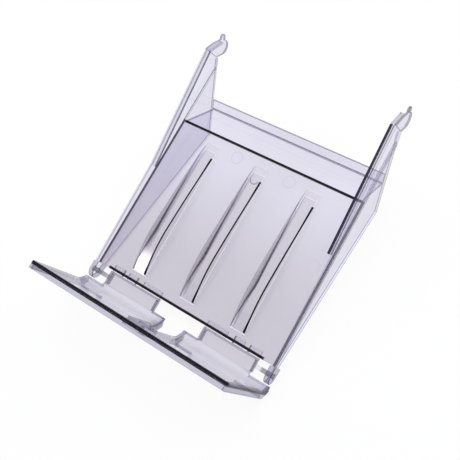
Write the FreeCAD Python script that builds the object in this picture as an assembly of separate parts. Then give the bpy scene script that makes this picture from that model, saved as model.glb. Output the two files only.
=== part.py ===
"""Clear letter tray with a stop flap that turns on a hinge at the front of its floor.

Lengths are in millimetres. The tray is drawn with its floor level, front towards -Y, the
floor's rear edge at y = 0 and its paper face at z = 0. It is then tipped forward until the
bottom edges of both side walls are level, which is how it stands on a desk.
"""
import math
import os

import FreeCAD
import Part

# Driving sizes: nearly everything else follows from these
INNER_HALF = 111.0         # centre line to the floor's side edge: clear width 222
FLOOR_LENGTH = 184.4       # floor, rear edge to front edge
PANEL_TOP = 105.8          # top of the stop flap above the floor
HEEL_DROP = 68.2           # floor level down to the lowest rear corner of the side walls
REAR_CROSSING = 71.1       # where the rear face meets floor level, behind the floor's rear edge
REAR_ANGLE = 48.6          # rear face to the floor, in degrees
SHELF_ANGLE = 48.0         # fall of the rear shelf, in degrees
RIB_HEIGHT = 13.4          # crest of the ribs above the floor
HOUSING_RADIUS = 9.0       # round of the hinge housings

# Wall thicknesses
WALL = 3.0                 # lower side wall
UPPER_WALL = 2.7           # upper side wall, arms and their flanges
SHEET = 2.5                # floor, shelf, lip and flap
RIB_WALL = 2.2
REAR_POST = 4.5            # thicker rear edge of each upper side wall

# Side walls and arms
LEDGE = 1.0                # how far the upper wall stands out from the lower one
LIP_HEIGHT = 12.3          # upright lip behind the shelf
ARM_FLANGE = 4.7           # inward flange on the top edge of each arm
ARM_START = FLOOR_LENGTH * 0.352   # where the arm's flange starts
ARM_START_TOP = 11.3       # top of the side wall there
WALL_FRONT_TOP = 6.3       # top of the side wall at its front end

# Hook behind each arm, as distance in front of the rear face and height above the heel
BEND = (22.4, 119.0)
HOOK_CREST = (10.5, 121.4)
HOOK_BACK = (-2.0, 121.9)
HOOK_UNDER = 102.4
HOOK_DEPTH = 19.5
HOOK_BULGE = 9.0           # hook's furthest point, below the foot of its knob
KNOB_IN = 4.8
KNOB_OUT = 12.4
KNOB_TOP = 127.4
KNOB_ROUND = 2.8
KNOB_FOOT = 118.9
KNOB_STEP = (3.5, 0.8)     # shoulder behind the knob: depth and fall
KNOB_FILLET = 0.6          # rise from the hook's back to the knob

# Ribs on the floor
RIB_PITCH = INNER_HALF * 0.57
RIB_HALF = 8.8
RIB_REAR = 12.5            # start of the rib, in front of the floor's rear edge
RIB_RAMP = 12.5            # length of its rear ramp
RIB_RAMP_TOP = 4.4
RIB_BULGE = 1.0            # how far its long rise bows up
RIB_CREST = FLOOR_LENGTH * 0.656
RIB_FRONT = FLOOR_LENGTH - 11.4
RIB_FRONT_TOP = RIB_HEIGHT * 0.21
RIB_FALL = (0.58, 0.76)    # point on its falling front: share of the run and of the height
BUTTON_RADIUS = 4.5        # round button on the centre rib
BUTTON_PLACE = 29.6
BUTTON_HEIGHT = 0.8

# Round ejector marks in the floor: distance from the centre line, and from the rear edge
MARK_RADIUS = 6.75
MARK_DEPTH = 0.25
MARKS = (
    (RIB_PITCH / 2 + 1.3, 14.2),
    (RIB_PITCH / 2 + 0.7, RIB_FRONT),
    (INNER_HALF - 11.0, FLOOR_LENGTH - 19.4),
    (INNER_HALF - 12.0, FLOOR_LENGTH * 0.44),
)

# Hinge at the front end of each side wall
AXIS_FORWARD = FLOOR_LENGTH + 8.6  # hinge line, in front of the floor's rear edge
AXIS_DROP = 2.5            # hinge line below floor level
HOUSING_INNER = INNER_HALF - 1.0
HOUSING_OUTER = INNER_HALF + 5.5
PIN_RADIUS = 2.5
PIN_CLEARANCE = 0.05
PIN_END = HOUSING_OUTER - 0.5

# Stop flap
ARM_IN = 29.8              # hinge arms, side to side
ARM_OUT = INNER_HALF - 16.2
ARM_REAR = FLOOR_LENGTH + 1.2
ARM_SKIRT = 8.0            # depth of the turned-down edge around the arms
WING_REAR = FLOOR_LENGTH + 18.6        # rear edge outside the arms
INNER_WING_REAR = FLOOR_LENGTH + 15.0  # rear edge between the arms and the slot
CURVE_START = FLOOR_LENGTH + 15.2      # where the base starts to curve up
PANEL_INNER = FLOOR_LENGTH + 24.1      # the panel's face towards the paper
CURVE_TOP = 17.6           # where the curve meets the panel
CURVE_SPLIT = 0.4          # middle of the curve, as a share of that height
PANEL_HALF_LOW = INNER_HALF + 6.8
PANEL_HALF_TOP = INNER_HALF + 2.0
RIM_DEPTH = 8.1            # rim around the panel, from its paper face forward
RIM_LOW = 2.6              # where the rim's front edge turns in below the panel
RIM_TOE = (0.2 - PANEL_INNER, -6.8)    # lowest corner of the rim's side pieces
RIM_HEEL = (4.8 - PANEL_INNER, -4.2)   # where their lower edge levels out
LUG_DEPTH = 3.0            # short bars between the rim's front corners
LUG_HEIGHT = 2.5
INNER_LUG_END = 34.0
OUTER_LUG_END = INNER_HALF - 25.0
EAR_TOP = 2.0              # turned-down edges of the outer wings stand this far above the floor
SLOT_HALF = 12.5           # finger slot
SLOT_TOP = PANEL_TOP - 25.8
SLOT_ROUND = 8.0
TAB_REAR = FLOOR_LENGTH - 6.9      # stop tabs below the floor's front edge
TAB_SPANS = (
    (ARM_IN + 0.2, ARM_IN + 24.8),
    (ARM_OUT - 32.2, ARM_OUT - 19.7),
    (ARM_OUT - 14.0, ARM_OUT),
)
STOP_CLEARANCE = 0.3

V = FreeCAD.Vector
REAR_UP = (math.cos(math.radians(REAR_ANGLE)), math.sin(math.radians(REAR_ANGLE)))
HEEL = (REAR_CROSSING - HEEL_DROP * REAR_UP[0] / REAR_UP[1], -HEEL_DROP)
AXIS = (-AXIS_FORWARD, -AXIS_DROP)
REACH = 400.0              # longer than any cut needs


def on_rear(forward, up):
    """Point (y, z) in front of the rear face and up along it from the heel."""
    y = HEEL[0] - forward * REAR_UP[1] + up * REAR_UP[0]
    return (y, HEEL[1] + forward * REAR_UP[0] + up * REAR_UP[1])


def outline(steps, place):
    """Closed wire. A step is a corner, or a pair: a point the round passes, and its end."""
    edges = []
    last = steps[0]
    for step in steps[1:] + [steps[0]]:
        if isinstance(step[0], tuple):
            edges.append(Part.Arc(place(last), place(step[0]), place(step[1])).toShape())
            last = step[1]
        else:
            edges.append(Part.makeLine(place(last), place(step)))
            last = step
    return Part.Wire(edges)


def slab(steps, x_low, x_high):
    """Side outline (y, z) drawn out from x_low to x_high."""
    face = Part.Face(outline(steps, lambda p: V(x_low, p[0], p[1])))
    return face.extrude(V(x_high - x_low, 0, 0))


def front_slab(steps, y_low, y_high):
    """Front outline (x, z) drawn out from y_low to y_high."""
    face = Part.Face(outline(steps, lambda p: V(p[0], y_low, p[1])))
    return face.extrude(V(0, y_high - y_low, 0))


def block(x, y, z):
    """Box between the two ends of each range."""
    return Part.makeBox(x[1] - x[0], y[1] - y[0], z[1] - z[0], V(x[0], y[0], z[0]))


def strip(start, end, depth, x_low, x_high):
    """Flat strip under the straight edge from start to end, to the right of its run."""
    run = math.hypot(end[0] - start[0], end[1] - start[1])
    side = ((end[1] - start[1]) / run * depth, -(end[0] - start[0]) / run * depth)
    far = [(p[0] + side[0], p[1] + side[1]) for p in (end, start)]
    return slab([start, end] + far, x_low, x_high)


def mirrored(shape):
    """The same shape on the other side of the tray."""
    return shape.mirror(V(0, 0, 0), V(1, 0, 0))


def both(shape):
    """The shape together with its mirror image."""
    return shape.fuse(mirrored(shape))


# Tray: floor, shelf and lip
shelf_run = REAR_CROSSING / (
    math.cos(math.radians(SHELF_ANGLE))
    + math.sin(math.radians(SHELF_ANGLE)) * REAR_UP[0] / REAR_UP[1]
)
shelf_end = (
    shelf_run * math.cos(math.radians(SHELF_ANGLE)),
    -shelf_run * math.sin(math.radians(SHELF_ANGLE)),
)
lip_foot = (shelf_end[1] + HEEL_DROP) / REAR_UP[1]
lip_top = lip_foot + LIP_HEIGHT

marks = [
    Part.makeCylinder(MARK_RADIUS, SHEET, V(side * x, -forward, -MARK_DEPTH))
    for x, forward in MARKS
    for side in (-1, 1)
]
floor = block((-INNER_HALF, INNER_HALF), (-FLOOR_LENGTH, 0), (-SHEET, 0)).cut(marks)
shelf = strip((0, 0), shelf_end, SHEET, -INNER_HALF, INNER_HALF)
shelf = shelf.cut(floor)
lip = strip(on_rear(0, lip_top), on_rear(0, lip_foot), SHEET, -INNER_HALF, INNER_HALF)
lip = lip.cut(shelf)


def rib_outline(inset, drop):
    """Side outline of a rib, drawn in by inset at its ends and lowered by drop."""
    rear = -RIB_REAR - inset
    front = -RIB_FRONT + inset
    ramp = (rear - RIB_RAMP, RIB_RAMP_TOP - drop)
    crest = (-RIB_CREST, RIB_HEIGHT - drop)
    rise = ((ramp[0] + crest[0]) / 2, (ramp[1] + crest[1]) / 2 + RIB_BULGE)
    run, height = RIB_FALL
    fall = (crest[0] * (1 - run) + front * run, RIB_HEIGHT * height - drop)
    steps = [(rear, -drop), ramp, (rise, crest), (fall, (front, RIB_FRONT_TOP - drop))]
    return steps + [(front, -drop - SHEET), (rear, -drop - SHEET)]


def rib(centre):
    """Hollow rib standing on the floor."""
    outer = slab(rib_outline(0, 0), centre - RIB_HALF, centre + RIB_HALF)
    inner_half = RIB_HALF - RIB_WALL
    inner = slab(rib_outline(RIB_WALL, RIB_WALL), centre - inner_half, centre + inner_half)
    above = block((-REACH, REACH), (-REACH, REACH), (0, REACH))
    return outer.common(above).cut(inner), inner


ribs = {}
for name, place in (("left", -RIB_PITCH), ("centre", 0), ("right", RIB_PITCH)):
    ribs[name], hollow = rib(place)
    floor = floor.cut(hollow)

# Tray: lower side wall, tangent to the round of the hinge housing
outer_face = INNER_HALF + WALL
upper_outer = outer_face + LEDGE
upper_inner = upper_outer - UPPER_WALL
heel_run = (AXIS[0] - HEEL[0], AXIS[1] - HEEL[1])
rest_angle = math.atan2(heel_run[1], -heel_run[0]) - math.asin(
    HOUSING_RADIUS / math.hypot(heel_run[0], heel_run[1])
)
touch = (
    AXIS[0] - HOUSING_RADIUS * math.sin(rest_angle),
    AXIS[1] - HOUSING_RADIUS * math.cos(rest_angle),
)
housing_rear = -FLOOR_LENGTH
foot_slope = (touch[1] - HEEL[1]) / (HEEL[0] - touch[0])
housing_foot = HEEL[1] + foot_slope * (HEEL[0] - housing_rear)
crossing = (REAR_CROSSING, 0)
skirt = slab([HEEL, crossing, (housing_rear, 0), (housing_rear, housing_foot)], INNER_HALF, outer_face)

# Tray: hinge housing with a running bore
housing_top = AXIS[1] + HOUSING_RADIUS
housing_outline = [
    (housing_rear, housing_foot),
    (housing_rear, housing_top),
    (AXIS[0], housing_top),
    ((AXIS[0] - HOUSING_RADIUS, AXIS[1]), touch),
]
housing = slab(housing_outline, HOUSING_INNER, HOUSING_OUTER)
bore = Part.makeCylinder(
    PIN_RADIUS + PIN_CLEARANCE, REACH, V(0, AXIS[0], AXIS[1]), V(1, 0, 0)
)
housing = housing.cut(bore)

# Tray: upper side wall with its ledge, and the arm that rises to the hook
under_hook = on_rear(0, HOOK_UNDER)
bend = on_rear(*BEND)
arm_start = (-ARM_START, ARM_START_TOP)
wall_outline = [
    (housing_rear, 0),
    (housing_rear, WALL_FRONT_TOP),
    arm_start,
    bend,
    under_hook,
    crossing,
]
ledge = block((INNER_HALF, upper_outer), (housing_rear, REAR_CROSSING - SHEET), (-SHEET, 0))
arm = slab(wall_outline, upper_inner, upper_outer).fuse(ledge).cut(skirt)
flange_inner = upper_inner - ARM_FLANGE
arm_flange = strip(arm_start, bend, UPPER_WALL, flange_inner, upper_inner)

# Tray: hook with a rounded back and a small knob on top
hook_outline = [
    under_hook,
    bend,
    (on_rear(*HOOK_CREST), on_rear(*HOOK_BACK)),
    on_rear(-KNOB_IN, HOOK_BACK[1] + KNOB_FILLET),
    on_rear(-KNOB_IN, KNOB_TOP - KNOB_ROUND),
    (on_rear(-(KNOB_IN + KNOB_OUT) / 2, KNOB_TOP), on_rear(-KNOB_OUT, KNOB_TOP - KNOB_ROUND)),
    on_rear(-KNOB_OUT, KNOB_FOOT),
    on_rear(-KNOB_OUT - KNOB_STEP[0], KNOB_FOOT - KNOB_STEP[1]),
    (on_rear(-HOOK_DEPTH, KNOB_FOOT - HOOK_BULGE), on_rear(-KNOB_OUT, HOOK_UNDER)),
]
hook = slab(hook_outline, upper_inner, upper_outer)
hook_flange = strip(bend, on_rear(*HOOK_BACK), UPPER_WALL, flange_inner, upper_inner)
hook_flange = hook_flange.common(slab(hook_outline, flange_inner, upper_inner)).cut(arm_flange)

# Tray: thicker rear edge between the lower side wall and the hook
rear_post = strip(under_hook, crossing, REAR_POST, INNER_HALF, upper_inner)
below_floor = block((-REACH, REACH), (-REACH, REACH), (-REACH, 0))
rear_post = rear_post.cut([below_floor, arm_flange])

# Flap: base and curve
curve_radius = (CURVE_TOP**2 + (PANEL_INNER - CURVE_START) ** 2) / (2 * (PANEL_INNER - CURVE_START))
curve_centre = (-PANEL_INNER + curve_radius, CURVE_TOP)


def on_curve(radius, height):
    """Point (y, z) at a height on the base's curve."""
    return (curve_centre[0] - math.sqrt(radius**2 - (CURVE_TOP - height) ** 2), height)


outer_radius = curve_radius + SHEET
panel_outer = PANEL_INNER + SHEET
base_outline = [
    (-ARM_REAR, 0),
    (-CURVE_START, 0),
    (on_curve(curve_radius, CURVE_TOP * CURVE_SPLIT), (-PANEL_INNER, CURVE_TOP)),
    (-panel_outer, CURVE_TOP),
    (on_curve(outer_radius, CURVE_TOP * CURVE_SPLIT), on_curve(outer_radius, -SHEET)),
    (-ARM_REAR, -SHEET),
]

cut_behind = {
    ARM_IN: block((0, ARM_IN), (-INNER_WING_REAR, REACH), (-REACH, REACH)),
    ARM_OUT: block((ARM_OUT, REACH), (-WING_REAR, REACH), (-REACH, REACH)),
}


def edge_half(height):
    """Half width of the flap at a height above the floor."""
    return PANEL_HALF_LOW + (PANEL_HALF_TOP - PANEL_HALF_LOW) * height / PANEL_TOP


def front_half(inset, low, high):
    """Front outline (x, z) of the flap's tapered right half, drawn in by inset."""
    return [(0, low), (edge_half(low) - inset, low), (edge_half(high) - inset, high), (0, high)]


def slot_outline(grow):
    """Front outline (x, z) of the finger slot, grown by grow."""
    half = SLOT_HALF + grow
    top = SLOT_TOP + grow
    turn = SLOT_ROUND + grow
    middle = turn * (1 - math.sqrt(0.5))
    return [
        (-half, -REACH),
        (-half, top - turn),
        ((-half + middle, top - middle), (-half + turn, top)),
        (half - turn, top),
        ((half - middle, top - middle), (half, top - turn)),
        (half, -REACH),
    ]


rim_front = PANEL_INNER + RIM_DEPTH
slot = front_slab(slot_outline(0), -REACH, REACH)
taper = front_slab(front_half(0, -HEEL_DROP, PANEL_TOP), -REACH, 0)
base = slab(base_outline, SLOT_HALF, REACH).common(taper).cut(list(cut_behind.values()))
panel = front_slab(front_half(0, CURVE_TOP, PANEL_TOP), -panel_outer, -PANEL_INNER)
panel = both(panel).removeSplitter().cut(slot)

# Flap: rim around the panel, and cheeks beside the slot below it
middle_radius = curve_radius + SHEET / 2
middle_panel = PANEL_INNER + SHEET / 2
rim_outline = [
    (-middle_panel, PANEL_TOP),
    (-rim_front, PANEL_TOP),
    (-rim_front, RIM_LOW),
    RIM_TOE,
    RIM_HEEL,
    (-INNER_WING_REAR, RIM_HEEL[1]),
    (-INNER_WING_REAR, -SHEET / 2),
    on_curve(middle_radius, -SHEET / 2),
    (on_curve(middle_radius, CURVE_TOP * CURVE_SPLIT), (-middle_panel, CURVE_TOP)),
]
inside_taper = front_slab(front_half(SHEET, -REACH, PANEL_TOP), -REACH, REACH)
side_rim = slab(rim_outline, ARM_OUT, REACH).common(taper)
side_rim = side_rim.cut([inside_taper, base, panel, cut_behind[ARM_OUT]])
cheek = slab(rim_outline, SLOT_HALF, SLOT_HALF + SHEET)
above_curve = block((-REACH, REACH), (-REACH, REACH), (CURVE_TOP, REACH))
cheek = cheek.cut([base, above_curve])
slot_rim = front_slab(slot_outline(SHEET), -rim_front, -panel_outer).cut(slot).common(above_curve)
top_rim = front_slab(front_half(SHEET, PANEL_TOP - SHEET, PANEL_TOP), -rim_front, -panel_outer)
top_rim = both(top_rim).removeSplitter()

# Flap: short bars at the rim's lower front corners
lug_depth = (-rim_front, LUG_DEPTH - rim_front)
lug_height = (RIM_LOW, RIM_LOW + LUG_HEIGHT)
inner_lug = block((SLOT_HALF + SHEET, INNER_LUG_END), lug_depth, lug_height)
outer_lug = block((OUTER_LUG_END, REACH), lug_depth, lug_height).common(inside_taper)

# Flap: turned-down edges around the hinge arms and along the wings
arm_skirt = block((ARM_IN, ARM_OUT), (on_curve(outer_radius, -SHEET)[0], -ARM_REAR), (-ARM_SKIRT, -SHEET))
arm_skirt = arm_skirt.cut(
    block((ARM_IN + SHEET, ARM_OUT - SHEET), (-REACH, -ARM_REAR - SHEET), (-REACH, 0))
)
ear_low = RIM_HEEL[1]
outer_ear = block((ARM_OUT, REACH), (-WING_REAR - SHEET, -WING_REAR), (ear_low, EAR_TOP))
outer_ear = outer_ear.common(taper).cut([base, side_rim])
inner_ear = block((SLOT_HALF, ARM_IN), (-INNER_WING_REAR - SHEET, -INNER_WING_REAR), (ear_low, -SHEET / 2))
inner_ear = inner_ear.cut([base, cheek, arm_skirt])

# Flap: stop tabs that meet the floor from below, and the stub pin in its housing
tab_top = -SHEET - STOP_CLEARANCE
tabs = [block(span, (-ARM_REAR, -TAB_REAR), (tab_top - SHEET, tab_top)) for span in TAB_SPANS]
pin = Part.makeCylinder(PIN_RADIUS, PIN_END - ARM_OUT, V(ARM_OUT, AXIS[0], AXIS[1]), V(1, 0, 0))

# Every node, with the right-hand one of each pair drawn and the left-hand one mirrored
button_top = RIB_RAMP_TOP + BUTTON_HEIGHT
button = Part.makeCylinder(BUTTON_RADIUS, button_top, V(0, -BUTTON_PLACE, 0))
button = button.cut([ribs["centre"], rib(0)[1]])
single = {
    "floor_panel": floor,
    "centre_rib": ribs["centre"].fuse(button).removeSplitter(),
    "left_rib": ribs["left"],
    "right_rib": ribs["right"],
    "rear_shelf": shelf,
    "rear_lip": lip,
    "flap_panel": panel,
    "flap_top_rim": top_rim,
    "finger_slot_rim": slot_rim,
}
pairs = {
    "side_skirt": skirt,
    "side_arm": arm,
    "arm_flange": arm_flange,
    "rear_post": rear_post,
    "hook": hook,
    "hook_flange": hook_flange,
    "hinge_housing": housing,
    "flap_base": base,
    "flap_side_rim": side_rim,
    "flap_cheek": cheek,
    "flap_arm_skirt": arm_skirt,
    "flap_inner_lug": inner_lug,
    "flap_outer_lug": outer_lug,
    "flap_outer_ear": outer_ear,
    "flap_inner_ear": inner_ear,
    "hinge_pin": pin,
}
for number, tab in enumerate(tabs, 1):
    pairs["stop_tab_%d" % number] = tab
nodes = dict(single)
for name, shape in pairs.items():
    nodes["right_" + name] = shape
    nodes["left_" + name] = mirrored(shape)

# Tip the tray forward onto the bottom edges of its side walls, and centre it on the desk
tip = FreeCAD.Rotation(V(1, 0, 0), math.degrees(rest_angle))
for name in nodes:
    nodes[name] = nodes[name].transformed(FreeCAD.Placement(V(0, 0, 0), tip).toMatrix(), True)
whole = Part.makeCompound(list(nodes.values())).optimalBoundingBox(False)
centre = V(-(whole.XMin + whole.XMax) / 2, -(whole.YMin + whole.YMax) / 2, -whole.ZMin)
os.makedirs("parts", exist_ok=True)
for name, shape in nodes.items():
    shape.translate(centre)
    shape.exportStep("parts/%s.step" % name)
    print(name, len(shape.Solids), round(shape.Volume, 1), shape.isValid())
print("tipped", math.degrees(rest_angle), "moved", tuple(centre))
print("size", whole.XLength, whole.YLength, whole.ZLength)
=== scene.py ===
# %% [markdown]
# # A clear letter tray with a folding stop flap
# The real tray is two mouldings in clear, faintly violet plastic: a sloping floor between tall
# side walls, and a flap that folds up from the floor's front edge. The CAD model already holds
# every wall at its true size, so Blender's work here is the light, the camera and above all the
# plastic: how a clear sheet looks through its face, and how dark it looks along its edge.

# %% Load the fixed frame
import math

import bpy
from mathutils import Matrix, Vector


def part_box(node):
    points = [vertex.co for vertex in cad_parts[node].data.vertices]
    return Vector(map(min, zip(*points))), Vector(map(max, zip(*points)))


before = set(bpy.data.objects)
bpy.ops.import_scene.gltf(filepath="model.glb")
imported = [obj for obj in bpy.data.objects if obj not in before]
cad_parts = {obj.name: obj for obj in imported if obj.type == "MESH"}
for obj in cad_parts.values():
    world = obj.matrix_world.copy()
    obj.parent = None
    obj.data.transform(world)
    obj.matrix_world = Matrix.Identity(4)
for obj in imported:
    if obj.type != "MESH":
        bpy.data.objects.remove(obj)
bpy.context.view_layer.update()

# %% [markdown]
# ## Writing materials as sums
# A finish is a small calculation at every point of a surface. Node trees say it at length, so two
# helpers shorten it. The first adds any node in one line, and serves the world as well as the
# materials.

# %% Any node in one line


class Tree:
    """The node tree of a material or a world, with one method that adds any node."""

    def __init__(self, owner):
        self.owner = owner
        owner.use_nodes = True
        self.nodes = owner.node_tree.nodes
        self.links = owner.node_tree.links
        self.nodes.clear()

    def add(self, kind, settings=None, **sockets):
        """Add a node, set its properties, then fill its sockets with values or links."""
        node = self.nodes.new("ShaderNode" + kind)
        for name, value in (settings or {}).items():
            setattr(node, name, value)
        names = [socket.name.lower() for socket in node.inputs]
        for name, value in sockets.items():
            wanted = name.replace("_", " ").lower()
            index = int(name[1:]) if name[0] == "_" else names.index(wanted)
            self.fill(node.inputs[index], value)
        return node

    def fill(self, socket, value):
        """Link or set one socket."""
        source = value.socket if isinstance(value, Value) else value
        if isinstance(source, bpy.types.NodeSocket):
            self.links.new(source, socket)
        else:
            socket.default_value = source

    def number(self, node, output=0):
        """A number from a node, ready for arithmetic."""
        return Value(self, node.outputs[output])

    def mixed(self, share, first, second):
        """One colour for a share of 0, the other for a share of 1."""
        node = self.add("Mix", {"data_type": "RGBA"}, _0=share, _6=first, _7=second)
        return node.outputs[2]

    def blended(self, share, first, second):
        """One shader for a share of 0, the other for a share of 1."""
        return self.add("MixShader", _0=share, _1=first, _2=second).outputs[0]

    def finish(self, shader, output="OutputMaterial"):
        """Connect the shader to the output and return the material or the world."""
        self.add(output, Surface=shader)
        return self.owner


print("helper ready: Tree")

# %% [markdown]
# The second helper wraps a number that comes out of a node, so that it can be added, multiplied
# or subtracted like a plain one. A mask is such a number: 1 where a colour is painted, 0 where it
# isn't. Each mask below is a soft step up, a soft step down, or both.

# %% Numbers and masks
SOFT = 0.0002  # how softly a painted line ends, in metres, and the same for a finer line
FINE = 0.0001


class Value:
    """A number in a node tree: arithmetic on it adds Math nodes."""

    def __init__(self, tree, socket):
        self.tree = tree
        self.socket = socket

    def math(self, operation, *others):
        """This number combined with others by one Math node."""
        sockets = {"_%d" % (i + 1): other for i, other in enumerate(others)}
        return self.tree.number(self.tree.add("Math", {"operation": operation}, _0=self, **sockets))

    def __add__(self, other):
        return self.math("ADD", other)

    def __mul__(self, other):
        return self.math("MULTIPLY", other)

    def __sub__(self, other):
        return self.math("SUBTRACT", other)

    def __rsub__(self, other):
        node = self.tree.add("Math", {"operation": "SUBTRACT"}, _0=other, _1=self)
        return self.tree.number(node)

    def __pow__(self, other):
        return self.math("POWER", other)

    def __abs__(self):
        return self.math("ABSOLUTE")

    def step(self, low, high):
        """0 below low, 1 above high, and a smooth rise between."""
        node = self.tree.add(
            "MapRange", {"interpolation_type": "SMOOTHSTEP"}, _0=self, _1=low, _2=high
        )
        return self.tree.number(node)

    def fall(self, low, high):
        """1 below low, 0 above high, and a smooth fall between."""
        return 1.0 - self.step(low, high)

    def between(self, low, high, soft=SOFT):
        """1 from low to high, with both ends softened."""
        return self.step(low - soft, low + soft) * self.fall(high - soft, high + soft)

    __radd__ = __add__
    __rmul__ = __mul__


print("helper ready: Value, with step, fall and between")

# %% [markdown]
# ## The stage
# A clear object is mostly seen by what is behind it, so the floor has to be an even white. The
# floor shows the camera a share of plain white and takes the rest of its brightness from the
# lamps, which leaves room for the tray's soft shadow. The world does the same for what the camera
# and the clear plastic see past the floor's edge.

# %% Floor and world
bpy.ops.object.select_all(action="DESELECT")
FLOOR_SIZE = 12.0
FLOOR_DROP = 0.0002  # keeps the stage just clear of the tray's bottom edges
bpy.ops.mesh.primitive_plane_add(size=FLOOR_SIZE, location=(0, 0, -FLOOR_DROP))
floor = bpy.context.object
floor.name = "stage_floor"

WHITE = (1.0, 1.0, 1.0, 1.0)
PAPER = (0.86, 0.86, 0.86, 1.0)
LIT_SHARE = 0.12
tree = Tree(bpy.data.materials.new("stage_white"))
path = tree.add("LightPath")
seen = tree.number(path, "Is Camera Ray").math("MAXIMUM", tree.number(path, "Is Glossy Ray"))
seen = seen.math("MAXIMUM", tree.number(path, "Is Transmission Ray"))
paper = tree.add("BsdfDiffuse", Color=PAPER).outputs[0]
glow = tree.add("Emission", Color=WHITE, Strength=1.0).outputs[0]
floor.data.materials.append(tree.finish(tree.blended(seen * (1.0 - LIT_SHARE), paper, glow)))

FILL_COLOUR = (0.93, 0.95, 1.0, 1.0)
FILL_STRENGTH = 0.6
sky = Tree(bpy.data.worlds.new("studio"))
path = sky.add("LightPath")
seen = sky.number(path, "Is Camera Ray").math("MAXIMUM", sky.number(path, "Is Glossy Ray"))
fill = sky.add("Background", Color=FILL_COLOUR, Strength=FILL_STRENGTH).outputs[0]
backdrop = sky.add("Background", Color=WHITE, Strength=1.0).outputs[0]
world = sky.finish(sky.blended(seen, fill, backdrop), "OutputWorld")
bpy.context.scene.world = world
print("stage ready:", floor.name, "and world", world.name)

# %% [markdown]
# ## The camera
# The tray is seen from above its right front, with the floor turned on the diagonal. A camera is
# a place, a direction and a roll: here they are given as a place and two directions, the way the
# lens points and the way that is up in the frame. A line of sight crosses many clear walls one
# behind another, so the count of clear surfaces it may pass is raised from the usual eight.

# %% Camera
CAMERA_PLACE = Vector((0.2744, -0.2456, 0.6457))
LOOK = Vector((-0.387, 0.373, -0.8431)).normalized()
UP = Vector((-0.4105, 0.7485, 0.5201))
LENS_LENGTH = 52.79
SENSOR_WIDTH = 36.0
SHIFT_ACROSS = -0.0308
SHIFT_UP = -0.0618
CLEAR_SURFACES = 48
rightward = LOOK.cross(UP).normalized()
upward = rightward.cross(LOOK)
lens = bpy.data.cameras.new("camera")
camera = bpy.data.objects.new("camera", lens)
bpy.context.collection.objects.link(camera)
turn = Matrix((rightward, upward, -LOOK)).transposed()
camera.matrix_world = Matrix.Translation(CAMERA_PLACE) @ turn.to_4x4()
lens.sensor_width = SENSOR_WIDTH
lens.lens = LENS_LENGTH
lens.shift_x = SHIFT_ACROSS
lens.shift_y = SHIFT_UP
bpy.context.scene.camera = camera
bpy.context.scene.view_settings.view_transform = "Standard"
bpy.context.scene.cycles.transparent_max_bounces = CLEAR_SURFACES
print("camera at", tuple(round(v, 3) for v in CAMERA_PLACE), "lens", LENS_LENGTH)

# %% [markdown]
# ## The lamps
# Two large soft lamps keep the plastic even. Clear plastic mirrors a bright lamp as a hard white
# patch wherever a wall happens to lie at the right angle, so both are kept out of its shine: it
# mirrors only the plain white room.

# %% Lamps
MIDDLE = Vector((0, 0, 0.05))


def lamp(name, place, size, watts):
    """A square soft lamp at a place, aimed at the middle of the tray."""
    data = bpy.data.lights.new(name, "AREA")
    data.size = size
    data.energy = watts
    made = bpy.data.objects.new(name, data)
    bpy.context.collection.objects.link(made)
    aim = (MIDDLE - Vector(place)).to_track_quat("-Z", "Y")
    made.matrix_world = Matrix.Translation(place) @ aim.to_matrix().to_4x4()
    made.visible_glossy = False
    print("lamp", name, "size", size, "watts", watts)


lamp("overhead_lamp", place=(0.3, 0.5, 1.9), size=1.6, watts=24.0)
lamp("left_lamp", place=(-1.6, -0.4, 1.2), size=1.0, watts=9.0)

# %% [markdown]
# ## The way each sheet lies
# The tray stands tipped forward, so its floor, shelf, lip and flap are all turned by the same
# angle about the side-to-side line. The directions below are drawn from it: they tell a
# material which way it is looked through. Places are measured from the floor's rear edge, so the
# same numbers hold however the tray is tipped.

# %% Directions
FLOOR_RISE = 15.4467  # degrees from the desk to the floor
SHELF_TURN = 42.0     # degrees from the floor to the way each rear sheet faces
LIP_TURN = -41.4
SHEET = 0.0025
FLOOR_LENGTH = 0.1844


def tilted(degrees):
    """Direction in the side view, as an angle from the floor's rearward run upwards."""
    angle = math.radians(degrees + FLOOR_RISE)
    return Vector((0, math.cos(angle), math.sin(angle)))


ACROSS = Vector((1, 0, 0))
UPRIGHT = Vector((0, 0, 1))
FLOOR_UP = tilted(90.0)
FLOOR_BACK = tilted(0.0)
SHELF_FACE = tilted(SHELF_TURN)
LIP_FACE = tilted(LIP_TURN)
floor_high = Vector(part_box("floor_panel")[1])
rear_edge = Vector((0, floor_high.y - SHEET * math.sin(math.radians(FLOOR_RISE)), floor_high.z))
print("floor faces", [round(v, 3) for v in FLOOR_UP], "rear edge", [round(v, 4) for v in rear_edge])

# %% [markdown]
# ## What a finish asks about a point
# A clear sheet hardly shows from the front, where the light crosses a few millimetres of it, but
# its narrow edge is a view down many centimetres of tinted plastic and looks almost black. So a
# finish needs to know, at each point, whether it is on a face of the sheet or on its edge. The
# surface's direction tells the two apart, and it works for both sides of a sheet. The point's
# place tells where a line has to be drawn.

# %% Questions about a point


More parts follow.
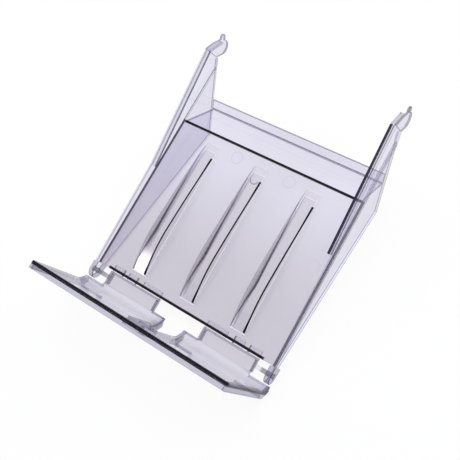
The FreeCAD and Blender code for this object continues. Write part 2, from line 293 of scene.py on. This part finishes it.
class Point:
    """What a finish may ask about the point it is shading."""

    def __init__(self, tree):
        self.tree = tree
        self.spot = tree.add("TexCoord")

    def dot(self, output, way):
        """The named coordinate measured along a direction."""
        node = self.tree.add(
            "VectorMath", {"operation": "DOT_PRODUCT"}, _0=self.spot.outputs[output], _1=way
        )
        return self.tree.number(node, "Value")

    def turned(self, way):
        """1 where the surface faces along the direction, 0 where it lies along it."""
        return abs(self.dot("Normal", way))

    def faces(self, way):
        """1 where the surface lies square to the direction, on either side of the sheet."""
        return self.turned(way).step(0.8, 0.9)

    def rounds(self, way):
        """1 on a rounded edge between a face square to the direction and an edge along it."""
        turned = self.turned(way)
        return turned.step(0.3, 0.45) * turned.fall(0.8, 0.9)

    def across(self):
        """Distance to the right of the middle line."""
        return self.dot("Object", ACROSS)

    def height(self):
        """Height above the floor's paper face, square to it."""
        return self.dot("Object", FLOOR_UP) - rear_edge.dot(FLOOR_UP)

    def forward(self):
        """Distance in front of the floor's rear edge, along the floor."""
        return rear_edge.dot(FLOOR_BACK) - self.dot("Object", FLOOR_BACK)


print("a finish can ask: faces, rounds, across, height, forward")

# %% [markdown]
# ## The plastic
# A glass shader that bends the light would be slow and noisy through so many thin walls, and its
# dark edges are what makes this plastic readable. So the clear part is a tinted see-through
# shader, the edges are a dark one, and a last glossy layer, stronger at a glancing view, is the
# polish over both. Edges and lines are painted over the clear part in layers, each one a mask, a
# colour and how much it covers; painted highlights among them also glow. Broad soft clouds warm
# the tint here and there, and very fine flow lines and grain break up the shine.

# %% Colours
WARM = (0.42, 0.36, 0.34, 1.0)
INK = (0.006, 0.004, 0.010, 1.0)
RIB_SHADE = (0.018, 0.013, 0.030, 1.0)
VIOLET_INK = (0.022, 0.015, 0.050, 1.0)
LINE = (0.10, 0.085, 0.16, 1.0)
VIOLET = (0.215, 0.195, 0.30, 1.0)
GREY_VIOLET = (0.33, 0.31, 0.40, 1.0)
# the next two colours are painted light, a painted highlight and a painted reflection, and both
# glow
PAINTED_HIGHLIGHT = (0.70, 0.70, 0.80, 1.0)
PAINTED_REFLECTION = (0.96, 0.96, 1.0, 1.0)
BRIGHT = (PAINTED_HIGHLIGHT, PAINTED_REFLECTION)  # light that the plastic has caught: these glow, the others don't
DARK = (0.0, 0.0, 0.0, 1.0)

FLOOR_TINT = (0.885, 0.876, 0.942, 1.0)
SHELF_TINT = (0.900, 0.890, 0.955, 1.0)
WALL_TINT = (0.895, 0.890, 0.945, 1.0)
SKIRT_TINT = (0.882, 0.873, 0.922, 1.0)
PALE_TINT = (0.935, 0.930, 0.962, 1.0)
FLAP_TINT = (0.840, 0.828, 0.880, 1.0)
RIM_TINT = (0.755, 0.750, 0.820, 1.0)
print("colours ready, from", INK[:3], "to", PAINTED_REFLECTION[:3])

# %% Plastic finish
CLOUD_SCALE = 9.0
CLOUD_EDGES = (0.38, 0.66)
CLOUD_ROUGHNESS = 0.08
FLOW_SCALE = (60.0, 900.0, 900.0)  # flow lines run from side to side
GRAIN_SCALE = 1400.0
GRAIN_SHARE = 0.5
RELIEF_STRENGTH = 0.015
RELIEF_DEPTH = 0.0002
ROUGHNESS = 0.12
REFRACTION = 1.49
# how strongly the painted highlights glow
HIGHLIGHT_GLOW = 0.6
POLISH_ROUGHNESS = 0.05
POLISH_FACE_ON = 0.035
POLISH_GLANCING = 0.3
POLISH_LOST = 0.9  # share of the polish that a covering layer takes away


def plastic(name, tint, layers, joined=None, haze=0.04):
    """Clear plastic of a tint, with layers (mask, colour, cover) painted over it in turn.

    Where joined is 1 the surface is the inside of the moulding and doesn't show at all.
    """
    tree = Tree(bpy.data.materials.new(name))
    point = Point(tree)
    spot = point.spot.outputs["Object"]
    clouds = tree.number(tree.add("TexNoise", Vector=spot, Scale=CLOUD_SCALE, Detail=2.0))
    cloudy = clouds.step(*CLOUD_EDGES)
    stretch = tree.add("Mapping", Vector=spot, Scale=FLOW_SCALE).outputs[0]
    flow = tree.number(tree.add("TexNoise", Vector=stretch, Scale=1.0, Detail=2.0))
    grain = tree.number(tree.add("TexNoise", Vector=spot, Scale=GRAIN_SCALE, Detail=1.0))
    relief = tree.add(
        "Bump",
        Strength=RELIEF_STRENGTH,
        Distance=RELIEF_DEPTH,
        Height=flow + grain * GRAIN_SHARE,
    ).outputs[0]

    cover, tone, light = cloudy * haze, WARM, DARK
    for mask, colour, share in layers(point):
        cover = cover * (1.0 - mask) + mask * share
        tone = tree.mixed(mask, tone, colour)
        # painted highlights and painted reflections also glow, through the emission
        light = tree.mixed(mask, light, colour if colour in BRIGHT else DARK)

    clear = tree.add("BsdfTransparent", Color=tint).outputs[0]
    painted = tree.add(
        "BsdfPrincipled",
        Base_Color=tone,
        Roughness=cloudy * CLOUD_ROUGHNESS + ROUGHNESS,
        IOR=REFRACTION,
        Specular_IOR_Level=0.1,
        Emission_Color=light,
        Emission_Strength=HIGHLIGHT_GLOW,
        Normal=relief,
    ).outputs[0]
    shine = tree.add(
        "BsdfGlossy", Color=WHITE, Roughness=POLISH_ROUGHNESS, Normal=relief
    ).outputs[0]
    glance = tree.number(tree.add("LayerWeight", Blend=0.5), "Facing")
    polish = (glance**5.0 * POLISH_GLANCING + POLISH_FACE_ON) * (1.0 - cover * POLISH_LOST)
    look = tree.blended(polish, tree.blended(cover, clear, painted), shine)
    if joined:
        nothing = tree.add("BsdfTransparent", Color=WHITE).outputs[0]
        look = tree.blended(joined(point), look, nothing)
    return tree.finish(look)


finishes = {}
print("plastic ready: clear, with painted layers and a polish")

# %% [markdown]
# ## The ribs
# Three hollow ribs keep the paper off the floor. Each rises slowly to a crest and falls quickly
# at its front end. Seen through the plastic, a rib's left wall has a dark line at its foot, and
# its right top edge is black. The foot line belongs to the wall below the rib's top, but a line
# below is veiled by the top's own polish, so it is painted on the top, further in where the rib is
# taller.

# %% The lines of a rib
RIB_PITCH = 0.06327
RIB_HALF = 0.0088
RIB_REAR = 0.0125
RIB_CREST = 0.121
RIB_FRONT = 0.173
RIB_STEP = 0.12  # share of its height that a rib still has at its front end, for these lines
FOOT_START = 0.03
FOOT_SHIFT = 0.0068
FOOT_HALF_WIDTH = 0.0008
RIB_LINE = 0.0018
RIB_LINE_START = 0.0285
RIB_LINE_END = RIB_FRONT - 0.0015


def rib_height(point):
    """How tall a rib stands: 0 at its rear end, 1 at its crest, low again at its front."""
    rise = point.forward() * (1.0 / RIB_CREST)
    drop = (RIB_FRONT - point.forward()) * (1.0 / (RIB_FRONT - RIB_CREST)) + RIB_STEP
    return rise.math("MINIMUM", drop).math("MINIMUM", 1.0)


def foot_line(point, place):
    """The dark foot of the left wall, wider and further in where the rib is tall."""
    tall = rib_height(point)
    half_width = tall * tall * FOOT_HALF_WIDTH + SOFT
    aside = abs(place + (RIB_HALF + FOOT_HALF_WIDTH) - tall * FOOT_SHIFT)
    line = aside.fall(half_width - FINE, half_width + 0.0003)
    return line * point.forward().between(FOOT_START, RIB_FRONT)


def top_line(point, place):
    """The black line on the right top edge, wider where the rib is low."""
    widening = rib_height(point).fall(0.1, 0.5) * RIB_LINE * 0.6
    line = (place - (RIB_HALF - RIB_LINE) + widening).step(-FINE, SOFT)
    line = line * point.height().step(0.0008, 0.0012)
    return line * point.forward().between(RIB_LINE_START, RIB_LINE_END)


print("rib lines from", RIB_LINE_START, "to", RIB_LINE_END)

# %% [markdown]
# The rest of a rib: its left wall is greyish and its front end has a painted highlight. The left
# rib's falling end has a painted reflection of the light as well, and the centre rib carries a
# round button, of which only the front half of the outline is dark.

# %% Rib finish
# where the painted reflection on the left rib's front slope starts, where it is full, and its share
SHINE_START = 0.138
SHINE_FULL = 0.160
SHINE_SHARE = 0.8
BUTTON_PLACE = 0.0296
BUTTON_RADIUS = 0.0045
BUTTON_LINE = 0.0006


def round_line(point, across, forward, radius, width):
    """A fine circle drawn on the floor or on a rib."""
    aside = point.across() - across
    ahead = point.forward() - forward
    far = (aside * aside + ahead * ahead) ** 0.5
    return far.between(radius - width, radius, FINE)


def button_line(point):
    """The dark front half of the round button's outline."""
    ring = round_line(point, 0.0, BUTTON_PLACE, BUTTON_RADIUS, BUTTON_LINE)
    return ring * point.forward().step(BUTTON_PLACE - 0.001, BUTTON_PLACE + 0.001)


def front_slope(point, place):
    """The falling front end of a rib's top, between its two edges."""
    along = point.forward().step(SHINE_START, SHINE_FULL)
    return along * abs(place).fall(RIB_HALF - 0.0022, RIB_HALF - 0.0018)


def rib_layers(centre, paints_reflection=False, buttoned=False):
    """A rib: left wall greyish, dark at its foot, right top edge black, painted highlight in front.
    """

    def layers(point):
        place = point.across() - centre
        left = place.fall(-0.001, 0.001)
        top = 1.0 - point.faces(ACROSS)
        above = top * point.height().step(0.0006, 0.001)
        painted = [(point.forward().step(-0.15, 0.17), WARM, 0.25)]
        if paints_reflection:
            # painted reflection of the light on the left rib's falling front end, which glows
            painted.append((front_slope(point, place) * above * SHINE_SHARE, PAINTED_REFLECTION, 1.0))
        painted += [
            (point.faces(ACROSS) * left, GREY_VIOLET, 0.30),
            (foot_line(point, place) * above * left, RIB_SHADE, 0.72),
            (top_line(point, place) * top, INK, 1.0),
            # painted highlight along each rib's front end, which glows
            (point.forward().step(RIB_FRONT - 0.0009, RIB_FRONT - 0.0006), PAINTED_HIGHLIGHT, 0.6),
        ]
        if buttoned:
            painted.append((button_line(point), LINE, 0.75))
        return painted

    return layers


def rib_joined(point):
    """A rib's underside is one with the floor."""
    return point.height().fall(0.0001, 0.0002)


for name, layers in (
    ("left_rib", rib_layers(-RIB_PITCH, paints_reflection=True)),
    ("centre_rib", rib_layers(0.0, buttoned=True)),
    ("right_rib", rib_layers(RIB_PITCH)),
):
    finishes[name] = plastic(name + "_plastic", FLOOR_TINT, layers, rib_joined)
print("rib finishes", sorted(finishes))

# %% [markdown]
# ## The floor
# The floor is one plain sheet. Its face shows the plastic's two ends through its surface as
# black bars, the front one broken off before the side walls. Towards the front it looks a little
# warmer, because more of the flap shows in it. Fine rings are left by the round pins that pushed
# the moulding out of its mould. Drawing them by place keeps them as thin as they are; cutting
# them into the mesh would need a very fine one. Where a rib stands, the floor's upper face is
# inside the moulding, so it is hidden there.

# %% Floor finish
REAR_BAR = 0.0024
FRONT_BAR = FLOOR_LENGTH - 0.003
FRONT_BAR_HALF = 0.099
PIN_MARK_RADIUS = 0.00675
PIN_MARK_WIDTH = 0.0005
PIN_MARKS = ((0.0329, 0.0142), (0.0323, 0.173), (0.1, 0.165), (0.099, 0.0811))
FLOOR_HAZE = 0.07


def floor_layers(point):
    """Warm towards the front, with fine rings, and dark bars along both ends."""
    rear = point.forward().fall(REAR_BAR - SOFT, REAR_BAR + SOFT)
    front = point.forward().step(FRONT_BAR, FRONT_BAR + 0.0004)
    front = front * abs(point.across()).fall(FRONT_BAR_HALF, FRONT_BAR_HALF + 0.001)
    rings = [
        (round_line(point, side * across, forward, PIN_MARK_RADIUS, PIN_MARK_WIDTH), VIOLET, 0.16)
        for across, forward in PIN_MARKS
        for side in (-1, 1)
    ]
    warmth = point.forward().step(-0.01, 0.15)
    return [(warmth, WARM, 0.21)] + rings + [(rear.math("MAXIMUM", front), INK, 1.0)]


def under_ribs(point):
    """The floor's paper face ends where a rib stands on it."""
    aside = abs(point.across())
    centre = aside.fall(RIB_HALF - FINE, RIB_HALF)
    outer = abs(aside - RIB_PITCH).fall(RIB_HALF - FINE, RIB_HALF)
    along = point.forward().between(RIB_REAR, RIB_FRONT, FINE)
    upper = point.height().step(-0.0003, -0.0002)
    hollow_walls = point.faces(ACROSS) * aside.fall(0.1, 0.101)
    return (centre.math("MAXIMUM", outer) * along * upper).math("MAXIMUM", hollow_walls)


finishes["floor_panel"] = plastic(
    "floor_plastic", FLOOR_TINT, floor_layers, under_ribs, FLOOR_HAZE
)
print("floor finish with", 2 * len(PIN_MARKS), "rings")

# %% [markdown]
# ## The walls and the rear sheets
# The shelf, the lip, the arms, the posts, the hooks and the housings are plain sheets, each told
# which way it lies: its narrow edges are painted one colour, and the rounds between edge and face
# a darker, finer one. The lower side walls also have a painted, glowing highlight along their
# bottom edge, where the light runs out, and a dark line along the floor's side. The flange along
# each arm is a narrow strip on edge, and shows its own inner side as a dark stripe down its face.

# %% Wall finishes
FLANGE_INNER = 0.1076  # from the middle line to the inner side of an arm's flange


def sheet_layers(way, edge=VIOLET, cover=0.4, line=LINE, line_cover=0.7):
    """A sheet's narrow edges, and the finer dark lines of their rounded corners."""

    def layers(point):
        return [(1.0 - point.faces(way), edge, cover), (point.rounds(way), line, line_cover)]

    return layers


def skirt_layers(point):
    """The lower side walls: pale edges, painted highlight below, dark line along the floor's side.
    """
    beside = point.height().step(-0.0008, -0.0002) * point.forward().step(-0.001, 0.001)
    edges = 1.0 - point.faces(ACROSS)
    bottom = point.faces(UPRIGHT) * point.height().fall(-0.004, -0.003)
    return [
        (edges, GREY_VIOLET, 0.15),
        (point.rounds(ACROSS), LINE, 0.7),
        # painted highlight on the bottom edge, which glows
        (bottom, PAINTED_HIGHLIGHT, 0.9),
        (beside * edges, VIOLET_INK, 0.9),
    ]


def flange_layers(point):
    """The flange along each arm: a black inner side, and stripes where it shows through."""
    inner = abs(point.across()).fall(FLANGE_INNER + 0.0001, FLANGE_INNER + 0.0004)
    left = point.across().between(-FLANGE_INNER - 0.0010, -FLANGE_INNER + 0.001)
    right = point.across().between(FLANGE_INNER - 0.001, FLANGE_INNER + 0.0026)
    right_outer = point.across().between(FLANGE_INNER + 0.0038, FLANGE_INNER + 0.0045)
    return [
        (point.faces(ACROSS), VIOLET, 0.3),
        (inner * point.faces(ACROSS), INK, 1.0),
        (left, VIOLET_INK, 0.7),
        (right, VIOLET_INK, 0.92),
        (right_outer, VIOLET_INK, 0.7),
    ]


for name, finish, tint, layers in (
    ("rear_shelf", "shelf", SHELF_TINT, sheet_layers(SHELF_FACE, cover=0.55)),
    ("rear_lip", "lip", SHELF_TINT, sheet_layers(LIP_FACE, cover=0.6)),
    ("rear_post", "post", WALL_TINT, sheet_layers(ACROSS)),
    ("side_skirt", "skirt", SKIRT_TINT, skirt_layers),
    ("right_side_arm", "right_arm", WALL_TINT, sheet_layers(ACROSS, GREY_VIOLET, 0.18, LINE, 0.3)),
    ("side_arm", "arm", WALL_TINT, sheet_layers(ACROSS, GREY_VIOLET, 0.18, LINE, 0.6)),
    ("arm_flange", "flange", PALE_TINT, flange_layers),
    ("hook", "hook", WALL_TINT, sheet_layers(ACROSS, LINE, 0.6, VIOLET_INK, 0.9)),
    ("hook_flange", "hook_flange", PALE_TINT, sheet_layers(ACROSS, VIOLET, 0.25, LINE, 0.8)),
    ("hinge_housing", "housing", WALL_TINT, sheet_layers(ACROSS, VIOLET, 0.45, VIOLET_INK, 0.85)),
):
    finishes[name] = plastic(finish + "_plastic", tint, layers)
print("finishes so far:", len(finishes))

# %% [markdown]
# ## The flap
# The flap is smokier than the tray, since it stands on edge to the view. Its panel has the
# darkest line of all along its top, and fine dark lines round its edges. The panel runs down in
# one curve into the base, so the two faces where they meet are hidden.

# %% Panel and base
CURVE_TOP = 0.0176
PANEL_TOP = 0.1058
PANEL_SIDE = 0.1178   # half the panel's width at the floor's height
PANEL_TAPER = 0.0454  # how much narrower it is for each unit of height


def panel_layers(point):
    """The panel: a black bar along its top and dark lines round its edges."""
    above = point.height().step(CURVE_TOP + 0.001, CURVE_TOP + 0.002)
    slanted = point.across() + point.height() * PANEL_TAPER
    return [
        ((1.0 - point.faces(FLOOR_BACK)) * above, VIOLET, 0.5),
        (point.rounds(FLOOR_BACK) * above, LINE, 0.75),
        (slanted.step(PANEL_SIDE - 0.0048, PANEL_SIDE - 0.0044), INK, 0.72),
        (point.height().step(PANEL_TOP - 0.004, PANEL_TOP - 0.0036), INK, 1.0),
    ]


def panel_joined(point):
    """The panel's foot runs on into the base's curve."""
    return point.height().fall(CURVE_TOP + 0.0001, CURVE_TOP + 0.0002)


def base_layers(point):
    """The base: clear along its curve, with a painted highlight band in it, and dark side lines."""
    highlight_band = point.height().step(0.0003, 0.002) * point.height().fall(0.0045, 0.0075)
    rear = point.forward().fall(FLOOR_LENGTH + 0.0014, FLOOR_LENGTH + 0.0018)
    return [
        (point.height().step(-0.01, -0.001), WARM, 0.08),
        # painted highlight along the curve, which glows
        (highlight_band, PAINTED_HIGHLIGHT, 0.14),
        (rear, GREY_VIOLET, 0.5),
        (point.faces(ACROSS), VIOLET, 0.5),
        (point.rounds(ACROSS), LINE, 0.7),
    ]


def base_joined(point):
    """The top of the base's curve runs on into the panel."""
    return point.height().step(CURVE_TOP - 0.0002, CURVE_TOP - 0.0001)


finishes["flap_panel"] = plastic("panel_plastic", FLAP_TINT, panel_layers, panel_joined)
finishes["flap_base"] = plastic("base_plastic", FLAP_TINT, base_layers, base_joined)
print("panel and base meet", CURVE_TOP, "above the floor")

# %% [markdown]
# ## The flap's rim and small parts
# The rim folds round the panel, and small edges turn down around the hinge arms. The pins, the
# lugs and the rim of the finger slot run across like bars, which leaves their two ends to paint.
# The stop tabs under the floor show through it as short black ticks.

# %% Rim, turned edges, bars and tabs
PANEL_FRONT = FLOOR_LENGTH + 0.0266
TAB_ENDS = (0.0626, 0.0808)  # distances from the middle line at which a tab shows as a tick
TICK_HALF = 0.0011
ALL_OVER = 1.0  # a mask that covers the whole piece


def rim_layers(point):
    """The rim: greyish ends, and black where it folds round the panel's top and right side."""
    top = point.height().step(PANEL_TOP - 0.0009, PANEL_TOP - 0.0005)
    near = point.forward().fall(PANEL_FRONT + 0.001, PANEL_FRONT + 0.0014)
    return [
        (point.faces(ACROSS), GREY_VIOLET, 0.15),
        (point.rounds(ACROSS), LINE, 0.6),
        (top * near, INK, 1.0),
        (near * point.across().step(0.1, 0.101), INK, 0.7),
    ]


def turned_layers(point):
    """The turned-down edges: greyish all over, darker at their ends and their top."""
    return [
        (ALL_OVER, VIOLET, 0.16),
        (point.faces(ACROSS), VIOLET, 0.5),
        (point.rounds(ACROSS), VIOLET_INK, 0.85),
        (point.height().step(CURVE_TOP - 0.003, CURVE_TOP - 0.001), VIOLET_INK, 0.5),
    ]


def bar_layers(edge, cover, line_cover):
    """A bar that runs across: clear all round, its two ends painted."""

    def layers(point):
        return [(point.faces(ACROSS), edge, cover), (point.rounds(ACROSS), LINE, line_cover)]

    return layers


def lug_layers(point):
    """The short bars that stand out from the rim: greyish, with darker ends."""
    return [(ALL_OVER, VIOLET, 0.3)] + bar_layers(VIOLET, 0.6, 0.8)(point)


def tab_layers(point):
    """The stop tabs: clear bars with dark lines round them, and black ends and ticks."""
    ticks = [
        (abs(point.across()).between(end - TICK_HALF, end + TICK_HALF), INK, 0.8)
        for end in TAB_ENDS
    ]
    return [
        (1.0 - point.faces(FLOOR_UP), VIOLET, 0.5),
        (point.rounds(FLOOR_UP), LINE, 0.85),
        (point.faces(ACROSS), INK, 0.85),
    ] + ticks


for name, finish, tint, layers in (
    ("rim", "rim", RIM_TINT, rim_layers),
    ("slot_rim", "slot_rim", WALL_TINT, bar_layers(GREY_VIOLET, 0.25, 0.4)),
    ("turned_edge", "turned_edge", WALL_TINT, turned_layers),
    ("lug", "lug", WALL_TINT, lug_layers),
    ("stop_tab", "tab", PALE_TINT, tab_layers),
    ("hinge_pin", "pin", PALE_TINT, bar_layers(GREY_VIOLET, 0.3, 0.4)),
):
    finishes[name] = plastic(finish + "_plastic", tint, layers)
print("finishes:", sorted(finishes))

# %% [markdown]
# ## Giving each wall its finish
# A wall's name says what it is, after its side: the left and right arm flanges are both an
# arm flange. Where several kinds of wall share a finish, a short table says which.

# %% Finishes on the walls
SHARED = (
    ("flap_top_rim", "rim"),
    ("flap_side_rim", "rim"),
    ("finger_slot_rim", "slot_rim"),
    ("cheek", "turned_edge"),
    ("arm_skirt", "turned_edge"),
    ("_ear", "turned_edge"),
    ("lug", "lug"),
    ("stop_tab", "stop_tab"),
)


def finish_of(wall):
    """The finish that a wall takes: by its own name, its name without a side, or its kind."""
    for name in (wall, wall.split("_", 1)[-1]):
        if name in finishes:
            return finishes[name]
    for part, name in SHARED:
        if part in wall:
            return finishes[name]
    raise ValueError("no finish for " + wall)


for name, node in sorted(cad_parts.items()):
    node.data.materials[0] = finish_of(name)
print("finished", len(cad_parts), "walls with", len(finishes), "finishes")

# %% [markdown]
# ## Rounded edges
# A moulding has no knife edges. Its small rounds bend the light away from the eye, which is why
# each one shows as a fine dark line. Three modifiers do this on every wall: the first joins its
# loose triangles, the second rounds its edges, and the last draws its faces in by five hundredths
# of a millimetre, so that walls which meet face to face never share one surface. The floor and
# the ribs keep their edges sharp, because there they run on into each other.

# %% Rounding
MERGE = 0.00002
DRAW_IN = 0.00005
EDGE_ROUND = 0.0003
WIDE_ROUND = 0.0006
SHARPEST = math.radians(35.0)  # a corner flatter than this is left as it is
WIDE = ("arm", "hook", "housing", "skirt", "cheek", "tab", "rear", "_ear")
for name, node in sorted(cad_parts.items()):
    node.modifiers.new("join", "WELD").merge_threshold = MERGE
    if not (name.endswith("_rib") or name == "floor_panel"):
        edges = node.modifiers.new("round", "BEVEL")
        edges.width = WIDE_ROUND if any(part in name for part in WIDE) else EDGE_ROUND
        edges.segments = 1
        edges.limit_method = "ANGLE"
        edges.angle_limit = SHARPEST
    inward = node.modifiers.new("draw_in", "DISPLACE")
    inward.mid_level = 0.0
    inward.strength = -DRAW_IN
print("rounded", len(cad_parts), "walls")
